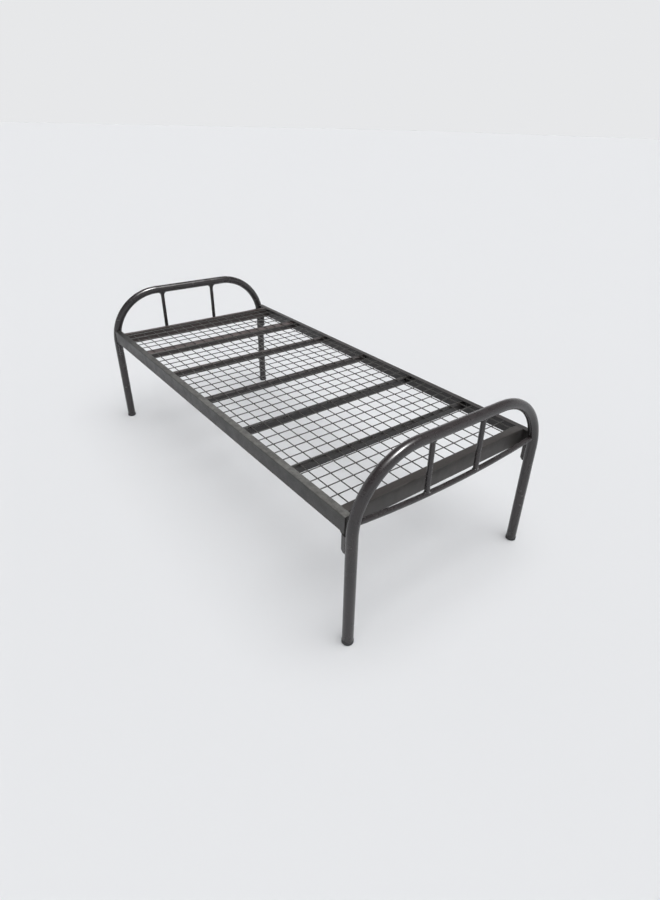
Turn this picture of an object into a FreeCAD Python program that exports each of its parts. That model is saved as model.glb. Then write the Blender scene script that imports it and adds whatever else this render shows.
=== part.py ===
import FreeCAD, Part
import math, os

# Single metal bed frame: two bowed tube end frames and a wire-mesh base that
# hooks between them.  Millimetres, +Z up, floor at Z = 0.
# +X is the foot end, -X the head end, -Y the near side, +Y the far side.
# Origin: middle of the footprint, on the floor.

V = FreeCAD.Vector

# ---------------------------------------------------------------- dimensions
LENGTH_CC = 1960.0        # between the planes of the two end frames
WIDTH_CC = 860.0          # between the leg centre lines
TUBE_R = 19.0             # 38 mm bed-end tube
TUBE_WALL = 1.5
BEND_R = 239.0            # centre-line radius of the two big bends
ARCH_Z = 675.0            # centre line of the top of each arch

CAP_R = 20.1              # plastic foot cap
CAP_H = 13.0
CAP_FLOOR = 5.0

SPINDLE_R = 9.0
SPINDLE_WALL = 1.2
FOOT_SPINDLES_Y = (-129.0, 105.0)
HEAD_SPINDLES_Y = (-158.0, 127.0)

BAR_R = 9.5               # thin cross bar of each end frame, bowed down in the middle
BAR_WALL = 1.2
FOOT_BAR_END_Z = 483.5
HEAD_BAR_END_Z = 464.0    # the head bar is the flatter of the two
BAR_MID_Z = 457.5

RAIL_TOP = 500.0          # top of the angle-section perimeter
RAIL_H = 59.0
RAIL_T = 3.0
RAIL_FOLD = 4.0           # outside radius of the folded corner
RAIL_ROOT = 1.5           # inside radius
SIDE_Y = 441.0            # outer face of the side rails
SIDE_FLANGE = 26.0
SIDE_HALF = 958.5         # half length of the side rails
HEAD_FLANGE = 25.0
FOOT_FLANGE = 31.0
FOOT_RAIL_X = 940.0       # outer faces of the end rails
HEAD_RAIL_X = -900.0

CROSS_PITCH = 52.1        # spacing of the crosswise wires
LONG_PITCH = 52.0         # spacing of the lengthwise wires
WIRE_R = 2.0
CROSS_Z = 495.0           # crosswise wires, tangent under the rail flanges
LONG_Z = 491.0            # lengthwise wires, tangent under the crosswise ones
CROSS_X0 = -866.6         # first crosswise wire, at the head
CROSS_N = 35
LONG_Y0 = -380.6          # first lengthwise wire, on the near side
LONG_N = 16

SLAT_TOP = 489.0
SLAT_H = 25.0
SLAT_T = 1.5
SLATS = ((1, -600.0, 38.0), (2, -307.0, 25.0), (3, 11.7, 25.0),
         (4, 322.7, 25.0), (5, 641.4, 25.0))

TONGUE_Y = (432.5, 438.0) # hook tongue under each corner of the base
TONGUE_XZ = ((933.0, 494.0), (933.0, 439.5), (935.0, 434.0), (947.4, 425.0),
             (947.4, 384.0), (951.0, 377.0), (956.5, 377.0), (956.5, 494.0))
SOCKET_X = (944.0, 972.0) # pocket welded to each leg
SOCKET_Y = (429.5, 441.0)
SOCKET_Z = (367.0, 431.0)
SOCKET_WALL = 2.2
SOCKET_FLOOR = 5.0
SOCKET_CHAMFER = 9.0

HX = LENGTH_CC / 2.0
HY = WIDTH_CC / 2.0


# ------------------------------------------------------------------- helpers
def box(x0, x1, y0, y1, z0, z1):
    return Part.makeBox(x1 - x0, y1 - y0, z1 - z0, V(x0, y0, z0))


def one(shape):
    """The single clean solid of a shape."""
    s = shape.removeSplitter()
    return s.Solids[0] if len(s.Solids) == 1 else s


def mirror_x(shape):
    return shape.mirror(V(0, 0, 0), V(1, 0, 0))


def mirror_y(shape):
    return shape.mirror(V(0, 0, 0), V(0, 1, 0))


def arch_core(x, r, z_bottom):
    """Round bar of radius r along the centre line of one bed-end tube."""
    zs = ARCH_Z - BEND_R
    legs = [Part.makeCylinder(r, zs - z_bottom, V(x, s * HY, z_bottom), V(0, 0, 1))
            for s in (-1, 1)]
    top = Part.makeCylinder(r, 2 * (HY - BEND_R), V(x, -(HY - BEND_R), ARCH_Z), V(0, 1, 0))
    bends = []
    for s in (-1, 1):
        disc = Part.Face(Part.Wire(Part.makeCircle(r, V(x, s * HY, zs), V(0, 0, 1))))
        ang = 90.0 if s < 0 else -90.0
        # turn from the leg to the top about the bend centre
        bends.append(disc.revolve(V(x, s * (HY - BEND_R), zs), V(1, 0, 0), -ang))
    return legs, top, bends


def bow_tube(x):
    lo, to, bo = arch_core(x, TUBE_R, CAP_FLOOR)
    li, ti, bi = arch_core(x, TUBE_R - TUBE_WALL, CAP_FLOOR)
    parts = [a.cut(b) for a, b in zip(lo + [to] + bo, li + [ti] + bi)]
    return one(parts[0].fuse(parts[1:]))


def arch_outside(x):
    lo, to, bo = arch_core(x, TUBE_R, CAP_FLOOR)
    return [to] + lo + bo


def bar_solid(x, r):
    """Round bar bowed down in the middle, from leg centre to leg centre."""
    sag = (FOOT_BAR_END_Z if x > 0 else HEAD_BAR_END_Z) - BAR_MID_Z
    R = (HY * HY + sag * sag) / (2.0 * sag)
    zc = BAR_MID_Z + R
    half = math.degrees(math.asin(HY / R))
    disc = Part.Face(Part.Wire(Part.makeCircle(r, V(x, 0, BAR_MID_Z), V(0, 1, 0))))
    disc.rotate(V(x, 0, zc), V(1, 0, 0), -half)
    return disc.revolve(V(x, 0, zc), V(1, 0, 0), 2 * half)


def lower_bar(x):
    s = bar_solid(x, BAR_R).cut(bar_solid(x, BAR_R - BAR_WALL))
    for leg in arch_core(x, TUBE_R, CAP_FLOOR)[0]:
        s = s.cut(leg)
    s = max(s.Solids, key=lambda q: q.Volume)
    return one(s)


def spindle(x, y):
    h = ARCH_Z - BAR_MID_Z
    s = Part.makeCylinder(SPINDLE_R, h, V(x, y, BAR_MID_Z), V(0, 0, 1)).cut(
        Part.makeCylinder(SPINDLE_R - SPINDLE_WALL, h, V(x, y, BAR_MID_Z), V(0, 0, 1)))
    s = s.cut(arch_core(x, TUBE_R, CAP_FLOOR)[1]).cut(bar_solid(x, BAR_R))
    return one(max(s.Solids, key=lambda q: q.Volume))


def foot_cap(x, y):
    c = Part.makeCylinder(CAP_R, CAP_H, V(x, y, 0), V(0, 0, 1))
    low = [e for e in c.Edges if abs(e.BoundBox.ZMax) < 1e-6]
    c = c.makeFillet(3.0, low)
    top = [e for e in c.Edges if abs(e.BoundBox.ZMin - CAP_H) < 1e-6]
    c = c.makeFillet(0.8, top)
    return one(c.cut(Part.makeCylinder(TUBE_R, CAP_H, V(x, y, CAP_FLOOR), V(0, 0, 1))))


def angle_x(flange, length_half, y_out):
    """Angle section running along X: web on the +Y side, flange on top."""
    z0, z1 = RAIL_TOP - RAIL_H, RAIL_TOP
    p = [V(-length_half, y_out, z0), V(-length_half, y_out, z1),
         V(-length_half, y_out - flange, z1), V(-length_half, y_out - flange, z1 - RAIL_T),
         V(-length_half, y_out - RAIL_T, z1 - RAIL_T), V(-length_half, y_out - RAIL_T, z0)]
    s = Part.Face(Part.makePolygon(p + [p[0]])).extrude(V(2 * length_half, 0, 0))
    def edge_at(y, z):
        for e in s.Edges:
            b = e.BoundBox
            if b.XLength > 10 and abs(b.YMin - y) < 1e-4 and abs(b.ZMin - z) < 1e-4:
                return e
    s = s.makeFillet(RAIL_FOLD, [edge_at(y_out, z1)])
    s = s.makeFillet(RAIL_ROOT, [edge_at(y_out - RAIL_T, z1 - RAIL_T)])
    return s


def side_rail():
    return one(angle_x(SIDE_FLANGE, SIDE_HALF, SIDE_Y))


def end_rail(x_out, flange):
    """Angle section running along Y between the side rails' webs."""
    half = SIDE_Y - RAIL_T
    s = angle_x(flange, half, 0.0)
    s.rotate(V(0, 0, 0), V(0, 0, 1), -90.0)      # web now on +X, running along Y
    if x_out < 0:
        s = mirror_x(s)
    s.translate(V(x_out, 0, 0))
    for sy in (-1, 1):                            # notch round the side flanges
        a, b = sorted((sy * (SIDE_Y - SIDE_FLANGE), sy * (SIDE_Y + 5)))
        s = s.cut(box(x_out - 60, x_out + 60, a, b, RAIL_TOP - RAIL_T, RAIL_TOP + 5))
    return s


def tongue(ex, ey):
    """Flat tapered hook plate on the inner face of a side rail's web."""
    pts = [V(x, TONGUE_Y[0], z) for x, z in TONGUE_XZ]
    s = Part.Face(Part.makePolygon(pts + [pts[0]])).extrude(V(0, TONGUE_Y[1] - TONGUE_Y[0], 0))
    if ex < 0:
        s = mirror_x(s)
    if ey < 0:
        s = mirror_y(s)
    return s


def socket(ex, ey):
    """Pocket open at the top, welded against the leg; it takes the tongue."""
    x0, z0, c, w = SOCKET_X[0], SOCKET_Z[0], SOCKET_CHAMFER, SOCKET_WALL
    s = box(SOCKET_X[0], SOCKET_X[1], SOCKET_Y[0], SOCKET_Y[1], SOCKET_Z[0], SOCKET_Z[1])
    tri = Part.Face(Part.makePolygon([V(x0 - 1, SOCKET_Y[0] - 1, z0 - 1),
                                      V(x0 + c + 1, SOCKET_Y[0] - 1, z0 - 1),
                                      V(x0 - 1, SOCKET_Y[0] - 1, z0 + c + 1),
                                      V(x0 - 1, SOCKET_Y[0] - 1, z0 - 1)]))
    s = s.cut(tri.extrude(V(0, 20, 0)))
    s = s.makeFillet(1.5, [e for e in s.Edges
                           if e.BoundBox.ZLength > 20 and abs(e.BoundBox.XMin - x0) < 1e-4])
    s = s.cut(box(x0 + w, 958.5, SOCKET_Y[0] + w, SOCKET_Y[1] - w,
                  SOCKET_Z[0] + SOCKET_FLOOR, SOCKET_Z[1] + 1))
    s = s.cut(Part.makeCylinder(TUBE_R, 200, V(HX, HY, 300), V(0, 0, 1)))
    s = max(s.Solids, key=lambda q: q.Volume)
    if ex < 0:
        s = mirror_x(s)
    if ey < 0:
        s = mirror_y(s)
    return s


def slat(xc, w):
    half = SIDE_Y - RAIL_T
    z0, z1 = SLAT_TOP - SLAT_H, SLAT_TOP
    s = box(xc - w / 2, xc + w / 2, -half, half, z0, z1)
    s = s.makeFillet(2.0, [e for e in s.Edges if e.BoundBox.YLength > 100])
    t = SLAT_T
    h = box(xc - w / 2 + t, xc + w / 2 - t, -half - 1, half + 1, z0 + t, z1 - t)
    return one(s.cut(h))


def cross_wires():
    half = SIDE_Y - RAIL_T - RAIL_ROOT - 0.5
    return Part.makeCompound([
        Part.makeCylinder(WIRE_R, 2 * half, V(CROSS_X0 + i * CROSS_PITCH, -half, CROSS_Z), V(0, 1, 0))
        for i in range(CROSS_N)])


def long_wires():
    x0, x1 = HEAD_RAIL_X + RAIL_T, FOOT_RAIL_X - RAIL_T
    return Part.makeCompound([
        Part.makeCylinder(WIRE_R, x1 - x0, V(x0, LONG_Y0 + i * LONG_PITCH, LONG_Z), V(1, 0, 0))
        for i in range(LONG_N)])


# --------------------------------------------------------------------- build
parts = {}
for end, ex, ys in (("head", -1, HEAD_SPINDLES_Y), ("foot", 1, FOOT_SPINDLES_Y)):
    x = ex * HX
    parts[end + "_bow_tube"] = bow_tube(x)
    parts[end + "_lower_bar"] = lower_bar(x)
    for side, ey, y in (("near", -1, ys[0]), ("far", 1, ys[1])):
        parts[end + "_spindle_" + side] = spindle(x, y)
        parts["leg_socket_" + end + "_" + side] = socket(ex, ey)
        parts["leg_cap_" + end + "_" + side] = foot_cap(x, ey * HY)
        parts["base_tongue_" + end + "_" + side] = tongue(ex, ey)

far = side_rail()
parts["side_rail_far"] = far
parts["side_rail_near"] = mirror_y(far)
for name, x, w in (("head_rail", HEAD_RAIL_X, HEAD_FLANGE), ("foot_rail", FOOT_RAIL_X, FOOT_FLANGE)):
    r = end_rail(x, w).cut(parts["side_rail_near"]).cut(parts["side_rail_far"])
    for k in list(parts):
        if k.startswith("base_tongue_" + name[:4]):
            r = r.cut(parts[k])
    parts[name] = one(max(r.Solids, key=lambda q: q.Volume))
for n, xc, w in SLATS:
    parts["cross_slat_%d" % n] = slat(xc, w)
parts["mesh_cross_wires"] = cross_wires()
parts["mesh_long_wires"] = long_wires()

os.makedirs("parts", exist_ok=True)
for name, shape in parts.items():
    shape.exportStep("parts/%s.step" % name)
    print("%-28s solids %2d  vol %10.0f mm3  %s" % (
        name, len(shape.Solids), shape.Volume, "ok" if shape.isValid() else "INVALID"))
bb = FreeCAD.BoundBox()
for s in parts.values():
    bb.add(s.BoundBox)
print("bbox", [round(v, 2) for v in (bb.XMin, bb.XMax, bb.YMin, bb.YMax, bb.ZMin, bb.ZMax)], len(parts), "nodes")
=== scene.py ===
import bpy, math, random
from mathutils import Matrix, Vector


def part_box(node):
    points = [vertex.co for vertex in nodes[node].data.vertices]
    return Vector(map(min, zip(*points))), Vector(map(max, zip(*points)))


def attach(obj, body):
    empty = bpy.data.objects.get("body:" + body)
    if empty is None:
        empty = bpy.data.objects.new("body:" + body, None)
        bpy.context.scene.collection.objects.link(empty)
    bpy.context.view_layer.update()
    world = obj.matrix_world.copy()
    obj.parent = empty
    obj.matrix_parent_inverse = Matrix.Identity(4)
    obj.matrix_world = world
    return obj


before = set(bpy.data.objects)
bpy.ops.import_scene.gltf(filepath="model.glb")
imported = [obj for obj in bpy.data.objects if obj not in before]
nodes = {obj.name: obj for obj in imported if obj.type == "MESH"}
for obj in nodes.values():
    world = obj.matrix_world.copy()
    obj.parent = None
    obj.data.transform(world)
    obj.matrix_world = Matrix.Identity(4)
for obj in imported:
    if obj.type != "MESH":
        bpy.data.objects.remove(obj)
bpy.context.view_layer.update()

# Looks for the metal bed frame: painted steel on the CAD nodes, and the weld
# beads and tack welds that the CAD leaves out.  Metres, +Z up.

scene = bpy.context.scene
scene.view_settings.view_transform = "Standard"
scene.view_settings.look = "None"

# ---------------------------------------------------------------- camera
cam = bpy.data.objects.new("camera", bpy.data.cameras.new("camera"))
scene.collection.objects.link(cam)
cam.data.sensor_width = 36.0
cam.data.lens = 21.791
cam.data.shift_x = -0.0133
cam.data.shift_y = -0.0142
cam.data.clip_start, cam.data.clip_end = 0.05, 400.0
cam.matrix_world = Matrix((
    (0.6178012, -0.4051767, 0.6739092, 1.8966781),
    (0.7859690, 0.2920674, -0.5449305, -1.2182603),
    (0.0239662, 0.8663305, 0.4988959, 1.4626878),
    (0.0, 0.0, 0.0, 1.0)))
scene.camera = cam


# -------------------------------------------------------------- materials
class Nodes:
    """A small helper for building one node material."""

    def __init__(self, name):
        self.mat = bpy.data.materials.new(name)
        self.mat.use_nodes = True
        self.tree = self.mat.node_tree
        self.bsdf = self.tree.nodes["Principled BSDF"]
        self.coord = self.new("ShaderNodeTexCoord").outputs["Object"]

    def new(self, kind, **props):
        n = self.tree.nodes.new(kind)
        for k, v in props.items():
            setattr(n, k, v)
        return n

    def link(self, a, b):
        self.tree.links.new(a, b)

    def noise(self, scale, detail=3.0, rough=0.55, stretch=None, offset=(0, 0, 0)):
        vec = self.coord
        if stretch or any(offset):
            m = self.new("ShaderNodeMapping")
            m.inputs["Location"].default_value = offset
            m.inputs["Scale"].default_value = stretch or (1, 1, 1)
            self.link(vec, m.inputs["Vector"])
            vec = m.outputs["Vector"]
        n = self.new("ShaderNodeTexNoise")
        n.inputs["Scale"].default_value = scale
        n.inputs["Detail"].default_value = detail
        n.inputs["Roughness"].default_value = rough
        self.link(vec, n.inputs["Vector"])
        return n.outputs["Fac"]

    def remap(self, value, lo, hi, a=0.0, b=1.0):
        n = self.new("ShaderNodeMapRange", clamp=True)
        self.link(value, n.inputs["Value"])
        for k, v in (("From Min", lo), ("From Max", hi), ("To Min", a), ("To Max", b)):
            n.inputs[k].default_value = v
        return n.outputs["Result"]

    def math(self, op, a, b):
        n = self.new("ShaderNodeMath", operation=op)
        for i, v in enumerate((a, b)):
            if isinstance(v, (int, float)):
                n.inputs[i].default_value = v
            else:
                self.link(v, n.inputs[i])
        return n.outputs["Value"]

    def mix(self, fac, a, b, blend="MIX"):
        n = self.new("ShaderNodeMix", data_type="RGBA", blend_type=blend)
        self.link(fac, n.inputs["Factor"])
        for i, v in ((6, a), (7, b)):
            if isinstance(v, tuple):
                n.inputs[i].default_value = (*v, 1.0)
            else:
                self.link(v, n.inputs[i])
        return n.outputs[2]

    def upward(self, lo=0.35, hi=0.95):
        """1 on faces that look up, 0 on the sides: where dust settles and a warm sheen of light is painted on."""
        g = self.new("ShaderNodeNewGeometry")
        s = self.new("ShaderNodeSeparateXYZ")
        self.link(g.outputs["Normal"], s.inputs["Vector"])
        return self.remap(s.outputs["Z"], lo, hi)

    def bump(self, height, strength, distance, under=None):
        n = self.new("ShaderNodeBump")
        n.inputs["Strength"].default_value = strength
        n.inputs["Distance"].default_value = distance
        self.link(height, n.inputs["Height"])
        if under is not None:
            self.link(under, n.inputs["Normal"])
        return n.outputs["Normal"]


def enamel(name, dark, warm, dust_and_sheen, rough, dust_and_sheen_most=0.45, blotch=9.0, peel=0.22,
           spec=0.5, seed=0.0, speck=0.6, painted_shade_x=None):
    """Sprayed enamel on steel: two close shades, settled dust and a painted sheen on upward faces,
    fine specks, uneven gloss, an orange-peel skin and, optionally, painted shade towards one end."""
    m = Nodes(name)
    off = (seed, seed * 0.37, -seed * 0.61)
    big = m.noise(blotch, 4.0, 0.6, offset=off)
    mid = m.noise(blotch * 6.3, 5.0, 0.62, offset=off)
    fine = m.noise(900.0, 2.0, 0.5, offset=off)
    base = m.mix(m.remap(big, 0.36, 0.66), dark, warm)
    up = m.upward()
    # upward faces are mixed toward a lighter colour: partly settled dust, partly a painted sheen of light from above
    dust_and_sheen_mask = m.math("MULTIPLY", up, m.remap(mid, 0.34, 0.70, 0.25, dust_and_sheen_most))
    if painted_shade_x:                      # painted shade: the coat darkens, and the dust and painted sheen thin out, towards one end
        s = m.new("ShaderNodeSeparateXYZ")
        m.link(m.coord, s.inputs["Vector"])
        along = m.remap(s.outputs["X"], painted_shade_x[0], painted_shade_x[1])
        dust_and_sheen_mask = m.math("MULTIPLY", dust_and_sheen_mask, m.remap(along, 0.0, 1.0, 0.06, 1.0))
        base = m.mix(along, tuple(c * 0.5 for c in dark), base)
    base = m.mix(dust_and_sheen_mask, base, dust_and_sheen)
    specks = m.math("MULTIPLY", m.remap(fine, 0.64, 0.72), m.remap(mid, 0.40, 0.62, 0.1 * speck, speck))
    base = m.mix(specks, base, tuple(min(1.0, c * 2.2) for c in dust_and_sheen))
    m.link(base, m.bsdf.inputs["Base Color"])
    lo, hi = rough
    r = m.remap(m.noise(blotch * 3.1, 4.0, 0.6, offset=off), 0.34, 0.68, lo, hi)
    r = m.math("ADD", r, m.math("MULTIPLY", dust_and_sheen_mask, 0.10))
    m.link(r, m.bsdf.inputs["Roughness"])
    m.bsdf.inputs["Specular IOR Level"].default_value = spec
    skin = m.noise(430.0, 2.0, 0.45, offset=off)
    wave = m.noise(46.0, 3.0, 0.5, offset=off)
    n1 = m.bump(wave, min(0.22, peel * 0.9), 0.0010)
    m.link(m.bump(skin, peel, 0.0005, n1), m.bsdf.inputs["Normal"])
    return m.mat


def moulded(name):
    """Black moulded plastic with a fine matt texture and scattered scuffs."""
    m = Nodes(name)
    scuff = m.noise(55.0, 5.0, 0.65)
    base = m.mix(m.remap(scuff, 0.46, 0.72, 0.0, 0.8), (0.016, 0.016, 0.018), (0.045, 0.044, 0.045))
    m.link(base, m.bsdf.inputs["Base Color"])
    m.link(m.remap(scuff, 0.35, 0.7, 0.48, 0.66), m.bsdf.inputs["Roughness"])
    m.link(m.bump(m.noise(1500.0, 2.0, 0.5), 0.35, 0.0003), m.bsdf.inputs["Normal"])
    return m.mat


END_PAINT = enamel("end_frame_enamel", (0.019, 0.0165, 0.0178), (0.028, 0.0230, 0.0235),
                   (0.034, 0.0215, 0.0225), (0.21, 0.29), 0.40, 8.0, 0.10, 0.65, 0.0, 0.06)
BASE_PAINT = enamel("base_enamel", (0.030, 0.0275, 0.0255), (0.044, 0.0385, 0.0350),
                    (0.062, 0.050, 0.047), (0.32, 0.48), 0.50, 11.0, 0.24, 0.5, 3.1)
# near side rail: the bright top colour is partly scuffed dust, partly a painted sheen along the flange; painted shade
# darkens it towards the head end
WORN_SHEEN_PAINT = enamel("base_enamel_worn_painted_sheen", (0.022, 0.0214, 0.0206), (0.034, 0.0318, 0.0297),
                    (0.205, 0.203, 0.190), (0.34, 0.50), 0.80, 7.0, 0.24, 0.45, 5.3, 0.6,
                    painted_shade_x=(-0.95, 0.10))
HEAD_RAIL_PAINT = enamel("base_enamel_warm", (0.034, 0.0245, 0.0225), (0.048, 0.0330, 0.0300),
                         (0.062, 0.044, 0.040), (0.34, 0.50), 0.50, 11.0, 0.24, 0.45, 2.3)
# slats: the pinkish top colour is partly dust, partly a painted highlight; painted shade darkens them towards the foot
# end
SLAT_PAINT = enamel("slat_enamel", (0.012, 0.0098, 0.0096), (0.024, 0.0175, 0.0168),
                    (0.180, 0.134, 0.129), (0.24, 0.40), 0.90, 9.0, 0.26, 0.6, 9.9, 0.6,
                    painted_shade_x=(0.30, -0.60))
# far side rail: a darker copy of the base enamel, painted shade
FAR_SHADED_PAINT = enamel("base_enamel_painted_shade", (0.0115, 0.0098, 0.0100), (0.020, 0.0165, 0.0160),
                   (0.036, 0.029, 0.028), (0.30, 0.44), 0.50, 9.0, 0.26, 0.5, 4.4)
MESH_PAINT = enamel("mesh_enamel", (0.034, 0.033, 0.030), (0.052, 0.049, 0.045),
                    (0.090, 0.087, 0.080), (0.26, 0.40), 0.45, 14.0, 0.18, 0.55, 7.7)
CAP_PLASTIC = moulded("cap_plastic_moulded")

SLOT_PAINT = {"end_frame_paint": END_PAINT, "base_paint": BASE_PAINT,
              "mesh_paint": MESH_PAINT, "cap_plastic": CAP_PLASTIC}


def slot_of(name):
    if name.startswith("leg_cap"):
        return "cap_plastic"
    if name.startswith("mesh_"):
        return "mesh_paint"
    if any(k in name for k in ("bow_tube", "lower_bar", "spindle", "socket")):
        return "end_frame_paint"
    return "base_paint"


for name, o in nodes.items():
    paint = SLOT_PAINT[slot_of(name)]
    if name.startswith("cross_slat"):
        paint = SLAT_PAINT
    elif name == "side_rail_near":
        paint = WORN_SHEEN_PAINT
    elif name == "head_rail":
        paint = HEAD_RAIL_PAINT
    elif name == "side_rail_far":
        paint = FAR_SHADED_PAINT
    o.data.materials.clear()
    o.data.materials.append(paint)


# ------------------------------------------------------------ weld beads
def mesh_piece(name, verts, faces, paint, smooth=True):
    me = bpy.data.meshes.new(name)
    me.from_pydata(verts, [], faces)
    me.update()
    if smooth:
        me.polygons.foreach_set("use_smooth", [True] * len(me.polygons))
    me.materials.append(paint)
    o = bpy.data.objects.new(name, me)
    scene.collection.objects.link(o)
    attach(o, "root")
    return o


class Bead:
    """Collects weld beads, each a rippled tube laid along a path."""

    def __init__(self, seed):
        self.v, self.f = [], []
        self.rnd = random.Random(seed)

    def lay(self, path, radius, closed=False, ripple=0.16, squash=1.0, sides=10):
        pts = [Vector(p) for p in path]
        n = len(pts)
        start = len(self.v)
        phase = self.rnd.uniform(0, 6.28)
        length = 0.0
        up = Vector((0.31, 0.27, 0.91)).normalized()
        for i, p in enumerate(pts):
            a = pts[(i - 1) % n] if closed or i > 0 else pts[i]
            b = pts[(i + 1) % n] if closed or i < n - 1 else pts[i]
            t = (b - a).normalized()
            side = t.cross(up)
            if side.length < 0.15:
                side = t.cross(Vector((1, 0, 0)))
            side.normalize()
            nor = side.cross(t).normalized()
            if i:
                length += (p - pts[i - 1]).length
            swell = 1.0 + ripple * math.sin(length / (radius * 0.85) + phase)
            swell *= self.rnd.uniform(0.93, 1.07)
            end = 1.0
            if not closed:
                k = min(i, n - 1 - i)
                end = (0.35, 0.75, 0.95, 1.0)[min(k, 3)]
            r = radius * swell * end
            for j in range(sides):
                w = 2 * math.pi * j / sides
                self.v.append(tuple(p + side * (r * math.cos(w)) + nor * (r * squash * math.sin(w))))
        rings = n if closed else n - 1
        for i in range(rings):
            a, b = start + i * sides, start + ((i + 1) % n) * sides
            for j in range(sides):
                k = (j + 1) % sides
                self.f.append((a + j, a + k, b + k, b + j))
        if not closed:
            for base, flip in ((start, True), (start + (n - 1) * sides, False)):
                ring = [base + j for j in range(sides)]
                self.f.append(tuple(reversed(ring)) if flip else tuple(ring))

    def flare(self, x, y, r0, r1, height, tube_r, axis_z, sides=36, steps=9):
        """Built-up fillet where an upright of radius r0 meets the arch above it."""
        start = len(self.v)
        phase = self.rnd.uniform(0, 6.28)
        for k in range(steps + 1):
            t = k / steps
            for i in range(sides):
                w = 2 * math.pi * i / sides
                lump = 1.0 + 0.035 * math.sin(5 * w + phase) + 0.02 * math.sin(11 * w + 2 * phase)
                r = r0 + (r1 * lump - r0) * t ** 2.2
                dx, dy = min(r, tube_r * 0.93) * math.cos(w), r * math.sin(w)
                seat = axis_z - math.sqrt(tube_r ** 2 - dx * dx)
                self.v.append((x + dx, y + dy, seat + 0.0006 - height * (1 - t) ** 1.25))
        for k in range(steps):
            a, b = start + k * sides, start + (k + 1) * sides
            for i in range(sides):
                j = (i + 1) % sides
                self.f.append((a + i, a + j, b + j, b + i))

    def blob(self, centre, rx, ry, rz, turn=0.0, rings=5, sides=10):
        """A flattened nugget of weld metal."""
        c = Vector(centre)
        start = len(self.v)
        co, si = math.cos(turn), math.sin(turn)
        self.v.append((c.x, c.y, c.z + rz))
        for i in range(1, rings):
            a = math.pi * i / rings
            for j in range(sides):
                w = 2 * math.pi * j / sides
                x, y = rx * math.sin(a) * math.cos(w), ry * math.sin(a) * math.sin(w)
                self.v.append((c.x + x * co - y * si, c.y + x * si + y * co, c.z + rz * math.cos(a)))
        self.v.append((c.x, c.y, c.z - rz))
        last = len(self.v) - 1
        for j in range(sides):
            k = (j + 1) % sides
            self.f.append((start, start + 1 + j, start + 1 + k))
            self.f.append((last, last - sides + k, last - sides + j))
        for i in range(rings - 2):
            a, b = start + 1 + i * sides, start + 1 + (i + 1) * sides
            for j in range(sides):
                k = (j + 1) % sides
                self.f.append((a + j, b + j, b + k, a + k))

    def piece(self, name, paint):
        return mesh_piece(name, self.v, self.f, paint)


def line(a, b, step=0.0022):
    a, b = Vector(a), Vector(b)
    n = max(6, int((b - a).length / step))
    return [a.lerp(b, i / n) for i in range(n + 1)]


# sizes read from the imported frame
def mid(node):
    lo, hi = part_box(node)
    return (lo + hi) / 2


TUBE_R = 0.019
LEG_Y = 0.430
ARCH_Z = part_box("foot_bow_tube")[1].z - TUBE_R
BAR_R = 0.0095
SPINDLE_R = (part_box("foot_spindle_near")[1].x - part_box("foot_spindle_near")[0].x) / 2


def bar_z(end, y):
    """Centre line of the bowed lower bar."""
    lo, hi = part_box(end + "_lower_bar")
    z_mid = lo.z + BAR_R
    half_y = hi.y
    z_end = hi.z - BAR_R * 0.995
    sag = z_end - z_mid
    rad = (half_y * half_y + sag * sag) / (2 * sag)
    return z_mid + rad - math.sqrt(rad * rad - y * y)


for end in ("head", "foot"):
    x = mid(end + "_bow_tube").x
    weld = Bead("welds " + end)
    for side in ("near", "far"):
        y = mid(end + "_spindle_" + side).y
        top, low = [], []
        for i in range(36):
            w = 2 * math.pi * i / 36
            r = SPINDLE_R + 0.0006
            dx, dy = r * math.cos(w), r * math.sin(w)
            top.append((x + dx, y + dy, ARCH_Z - math.sqrt(TUBE_R ** 2 - dx * dx) - 0.0006))
            low.append((x + dx * 0.93, y + dy,
                        bar_z(end, y + dy) + math.sqrt(max(BAR_R ** 2 - (dx * 0.93) ** 2, 0)) + 0.0002))
        weld.lay(top, 0.0027, closed=True)
        weld.lay(low, 0.0024, closed=True)
        if end == "head":
            weld.flare(x, y, SPINDLE_R + 0.0002, 0.0235, 0.019, TUBE_R, ARCH_Z)
        else:
            weld.flare(x, y, SPINDLE_R + 0.0002, 0.0145, 0.009, TUBE_R, ARCH_Z)
        s = -1 if side == "near" else 1
        ring = []
        for i in range(36):
            w = 2 * math.pi * i / 36
            dx, dz = BAR_R * math.cos(w), BAR_R * math.sin(w)
            yy = LEG_Y - math.sqrt(TUBE_R ** 2 - dx * dx)
            ring.append((x + dx, s * (yy - 0.0004), bar_z(end, yy) + dz))
        weld.lay(ring, 0.0025, closed=True)
        lo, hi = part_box("leg_socket_%s_%s" % (end, side))
        sx = 1 if x > 0 else -1
        for yy in (lo.y + 0.0006, hi.y - 0.0006):
            d = abs(yy) - LEG_Y
            xx = x - sx * (math.sqrt(max(TUBE_R ** 2 - d * d, 0)) + 0.0004)
            out = 0.0012 if abs(yy) > LEG_Y + 0.006 else -0.0012
            weld.lay(line((xx, yy + (s * out), lo.z + 0.004), (xx, yy + (s * out), hi.z - 0.003)), 0.0021)
    weld.piece(end + "_frame_welds", END_PAINT)

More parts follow.
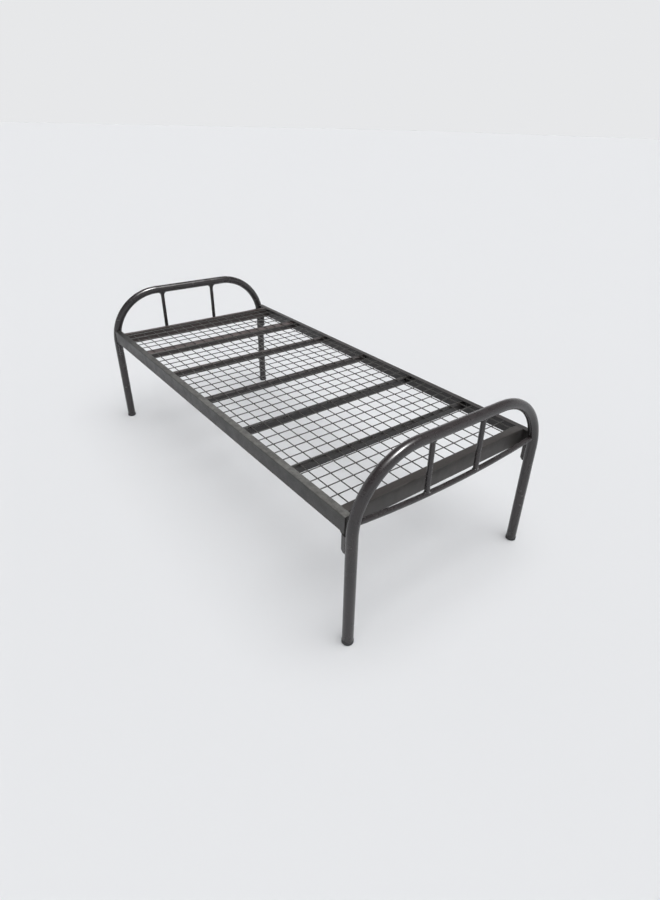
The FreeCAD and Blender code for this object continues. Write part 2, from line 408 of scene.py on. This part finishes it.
# base: tongues, rail corners and slat ends
weld = Bead("welds base")
web_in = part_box("side_rail_far")[1].y - 0.003
rail_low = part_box("side_rail_far")[0].z
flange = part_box("side_rail_far")[0].y
for sx, end in ((-1, "head"), (1, "foot")):
    rlo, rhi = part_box(end + "_rail")
    outer = rhi.x if sx > 0 else rlo.x
    web = outer - sx * 0.003
    flange_in = rlo.x if sx > 0 else rhi.x
    for sy, side in ((-1, "near"), (1, "far")):
        tlo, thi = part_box("base_tongue_%s_%s" % (end, side))
        tin = tlo.y if sy > 0 else thi.y
        for xx in (tlo.x, thi.x):
            weld.lay(line((xx, sy * (web_in - 0.0004), rail_low + 0.0025), (xx, sy * (web_in - 0.0004), 0.492)), 0.0020)
        # vertical fillets where the end rail's web butts against the side rail
        weld.lay(line((web - sx * 0.0004, sy * (web_in - 0.0006), rail_low + 0.003),
                      (web - sx * 0.0004, sy * (web_in - 0.0006), 0.494)), 0.0021)
        weld.lay(line((outer + sx * 0.0002, sy * (web_in - 0.0004), rail_low + 0.002),
                      (outer + sx * 0.0002, sy * (web_in - 0.0004), 0.494)), 0.0021)
        # seam between the two flanges, dressed nearly flush on top
        weld.lay(line((flange_in + sx * 0.002, sy * flange, 0.4992),
                      (outer - sx * 0.0035, sy * flange, 0.4992)), 0.0017, ripple=0.22, squash=0.55)
for i in range(1, 6):
    lo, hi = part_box("cross_slat_%d" % i)
    for sy in (-1, 1):
        yy = sy * (web_in - 0.0005)
        for xx in (lo.x - 0.0002, hi.x + 0.0002):
            weld.lay(line((xx, yy, lo.z + 0.0015), (xx, yy, hi.z - 0.001)), 0.0020)
        weld.lay(line((lo.x + 0.002, yy, lo.z - 0.0002), (hi.x - 0.002, yy, lo.z - 0.0002)), 0.0019)
weld.piece("base_frame_welds", BASE_PAINT)

# mesh: one resistance weld at each crossing, tacks on slats and under flanges
PITCH = 0.052
clo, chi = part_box("mesh_cross_wires")
llo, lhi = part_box("mesh_long_wires")
x0, y0 = clo.x + 0.002, llo.y + 0.002
nx = round((chi.x - clo.x - 0.004) / PITCH) + 1
ny = round((lhi.y - llo.y - 0.004) / PITCH) + 1
px, py = (chi.x - clo.x - 0.004) / (nx - 1), (lhi.y - llo.y - 0.004) / (ny - 1)
zc, zl = (clo.z + chi.z) / 2, (llo.z + lhi.z) / 2
zj = (zc + zl) / 2
nug = Bead("mesh nuggets")
for i in range(nx):
    for j in range(ny):
        r = nug.rnd
        nug.blob((x0 + i * px + r.uniform(-2e-4, 2e-4), y0 + j * py + r.uniform(-2e-4, 2e-4), zj),
                 0.0026 * r.uniform(0.9, 1.12), 0.0026 * r.uniform(0.9, 1.12), 0.0026,
                 r.uniform(0, 1.5), rings=4, sides=8)
nug.piece("mesh_crossing_welds", MESH_PAINT)

tack = Bead("mesh tacks")
for i in range(1, 6):
    lo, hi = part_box("cross_slat_%d" % i)
    for j in range(0, ny):
        if (j + i) % 3 == 1:
            continue
        r = tack.rnd
        yy = y0 + j * py
        xx = r.uniform(lo.x + 0.006, hi.x - 0.006)
        s = r.choice((-1, 1))
        tack.blob((xx, yy + s * 0.0018, hi.z + 0.0004), 0.0042 * r.uniform(0.8, 1.15),
                  0.0024, 0.0016 * r.uniform(0.8, 1.2), r.uniform(-0.2, 0.2))
for i in range(nx):
    for sy in (-1, 1):
        r = tack.rnd
        tack.blob((x0 + i * px + r.choice((-1, 1)) * 0.0016, sy * (flange + 0.001), 0.4966),
                  0.0024, 0.0036 * r.uniform(0.8, 1.2), 0.0017, 0.0)
for j in range(ny):
    for sx, end in ((-1, "head"), (1, "foot")):
        rlo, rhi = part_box(end + "_rail")
        web = (rhi.x if sx > 0 else rlo.x) - sx * 0.003
        r = tack.rnd
        tack.blob((web - sx * 0.0008, y0 + j * py, zl - 0.0012), 0.0020, 0.0034 * r.uniform(0.85, 1.15),
                  0.0026, 0.0)
tack.piece("mesh_tack_welds", MESH_PAINT)

# ------------------------------------------------------- floor and lights
FLOOR = (0.792, 0.800, 0.814)


def stage_plane():
    bpy.ops.mesh.primitive_plane_add(size=300, location=(0, 0, 0))
    f = bpy.context.object
    f.name = "studio_floor"
    m = bpy.data.materials.new("studio_floor")
    m.use_nodes = True
    b = m.node_tree.nodes["Principled BSDF"]
    b.inputs["Base Color"].default_value = (*FLOOR, 1)
    b.inputs["Roughness"].default_value = 0.95
    b.inputs["Specular IOR Level"].default_value = 0.0
    f.data.materials.append(m)


stage_plane()

world = bpy.data.worlds.new("studio")
scene.world = world
world.use_nodes = True
wt = world.node_tree
bg = wt.nodes["Background"]
bg.inputs["Strength"].default_value = 1.0
# pale walls at eye level, a dimmer ceiling above
w_co = wt.nodes.new("ShaderNodeTexCoord")
w_xyz = wt.nodes.new("ShaderNodeSeparateXYZ")
w_el = wt.nodes.new("ShaderNodeMapRange")
w_mix = wt.nodes.new("ShaderNodeMix")
w_mix.data_type = "RGBA"
wt.links.new(w_co.outputs["Generated"], w_xyz.inputs["Vector"])
wt.links.new(w_xyz.outputs["Z"], w_el.inputs["Value"])
w_el.inputs["From Min"].default_value = 0.26
w_el.inputs["From Max"].default_value = 0.64
wt.links.new(w_el.outputs["Result"], w_mix.inputs["Factor"])
w_mix.inputs[6].default_value = (0.800, 0.806, 0.818, 1)
w_mix.inputs[7].default_value = (0.180, 0.182, 0.187, 1)
wt.links.new(w_mix.outputs[2], bg.inputs["Color"])


def sun(name, towards, strength, angle, diffuse=1.0, gloss=1.0):
    """A distant light; towards points from the object to the light."""
    d = bpy.data.lights.new(name, "SUN")
    d.energy = strength
    d.angle = math.radians(angle)
    d.diffuse_factor, d.specular_factor = diffuse, gloss
    o = bpy.data.objects.new(name, d)
    scene.collection.objects.link(o)
    o.rotation_mode = "QUATERNION"
    o.rotation_quaternion = (-Vector(towards)).to_track_quat("-Z", "Y")
    return o


fill = sun("overhead_fill", (0.200, 0.060, 0.975), 1.72, 58)
fill.visible_glossy = False
sun("overhead_softbox", (0.200, 0.060, 0.975), 0.56, 58)
lamp = sun("highlight_lamp", (0.300, 0.100, 0.940), 5.2, 17)
lamp.visible_diffuse = False
